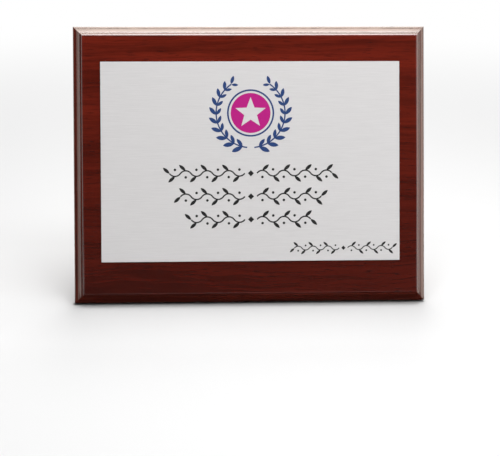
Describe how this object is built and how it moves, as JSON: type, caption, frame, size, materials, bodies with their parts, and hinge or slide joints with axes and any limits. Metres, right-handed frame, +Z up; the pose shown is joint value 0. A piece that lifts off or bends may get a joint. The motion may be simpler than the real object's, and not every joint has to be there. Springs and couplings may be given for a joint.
{
  "type": "award plaque",
  "caption": "Wooden award plaque with a moulded edge and a silver plate with a printed wreath, standing on a fold-out strut, with a keyhole hanger for a wall.",
  "frame": {"origin": "On the floor below the middle of the standing plaque's box", "axes": "+X to the right seen from the front, +Y to the rear, +Z up; the face looks along -Y, leaned back 12 degrees"},
  "size_m": [0.23, 0.0586, 0.1776],
  "materials": {
    "moulded_edge": "dark mahogany stain under gloss lacquer",
    "mahogany_face": "red mahogany veneer under gloss lacquer",
    "mahogany_back": "brown mahogany veneer, satin",
    "adhesive": "translucent adhesive film",
    "silver_plate": "matt silver anodised",
    "plated_sheet": "brass-plated pressed steel",
    "plated_screw": "brass-plated steel",
    "nylon": "natural nylon",
    "black_rubber": "matt moulded rubber"
  },
  "bodies": {
    "board": {"core_board": "moulded_edge", "face_veneer": "mahogany_face", "back_veneer": "mahogany_back", "adhesive_sheet": "adhesive", "inscription_plate": "silver_plate", "hanger_plate": "plated_sheet", "hanger_screws": "plated_screw", "strut_bracket": "plated_sheet", "bracket_screws": "plated_screw", "hinge_pin": "plated_screw", "hinge_washer_left": "nylon", "hinge_washer_right": "nylon", "bumper_upper_left": "black_rubber", "bumper_upper_right": "black_rubber", "bumper_lower_left": "black_rubber", "bumper_lower_right": "black_rubber"},
    "strut": {"strut_leg": "plated_sheet", "leg_tip": "black_rubber"}
  },
  "joints": [
    {"name": "strut_hinge", "type": "hinge", "parent": "board", "child": "strut", "pos_m": [0, 0.00901, 0.0984], "axis": [1, 0, 0], "range_deg": [-22, 0]}
  ]
}
